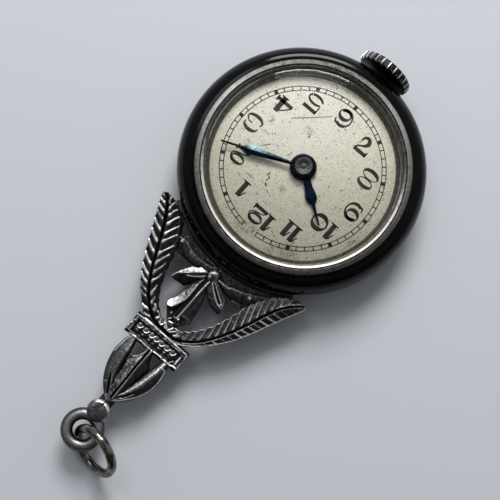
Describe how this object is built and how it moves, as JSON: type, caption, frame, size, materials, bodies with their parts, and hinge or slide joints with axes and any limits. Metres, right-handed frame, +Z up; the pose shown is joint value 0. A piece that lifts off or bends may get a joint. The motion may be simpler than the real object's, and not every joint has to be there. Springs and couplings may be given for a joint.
{
  "type": "pendant watch",
  "caption": "Round pendant watch in black enamel, hanging from a cast silver ornament of two leafy branches, a bow and a calyx, with a jump ring.",
  "frame": {"origin": "centre of the flat rest face in the middle of the case back", "axes": "+Z up out of the dial, +Y from 6 o'clock past 12 o'clock towards the jump ring, +X towards 3 o'clock"},
  "size_m": [0.027, 0.0538, 0.0069],
  "materials": {
    "black_enamel": "glossy black enamel, lightly worn",
    "cast_silver": "cast silver, darkened in the recesses, bright on worn ridges",
    "bezel_silver": "worn silver with fine scratches",
    "crystal": "clear domed crystal",
    "dial_ring": "tarnished silvered ring",
    "dial": "aged cream dial with brown specks",
    "movement_brass": "plain brass",
    "arbor_steel": "grey steel",
    "blued_steel": "heat blued steel",
    "crown_steel": "dark plated steel, bright on the flutes",
    "jump_ring_silver": "tarnished silver wire"
  },
  "bodies": {
    "case": {"case_back": "black_enamel", "ornament": "cast_silver", "case_front": "black_enamel", "bezel": "bezel_silver", "crystal": "crystal", "dial_ring": "dial_ring", "dial": "dial", "movement": "movement_brass", "jump_ring": "jump_ring_silver"},
    "minute": {"minute_hand": "blued_steel", "centre_arbor": "arbor_steel"},
    "hour": {"hour_hand": "blued_steel"},
    "lever": {"setting_lever": "arbor_steel"},
    "crown": {"crown": "crown_steel"}
  },
  "joints": [
    {"name": "minute_turn", "type": "hinge", "parent": "case", "child": "minute", "pos_m": [0, 0, 0.00536], "axis": [0, 0, -1], "continuous": true},
    {"name": "hour_turn", "type": "hinge", "parent": "case", "child": "hour", "pos_m": [0, 0, 0.005], "axis": [0, 0, -1], "continuous": true},
    {"name": "crown_pull", "type": "slide", "parent": "case", "child": "lever", "axis": [0, -1, 0], "range_m": [0, 0.0008]},
    {"name": "crown_turn", "type": "hinge", "parent": "lever", "child": "crown", "pos_m": [0, -0.0142, 0.00325], "axis": [0, -1, 0], "continuous": true}
  ],
  "couplings": [
    {"joint": "hour_turn", "follows": "minute_turn", "ratio": 0.083333}
  ]
}
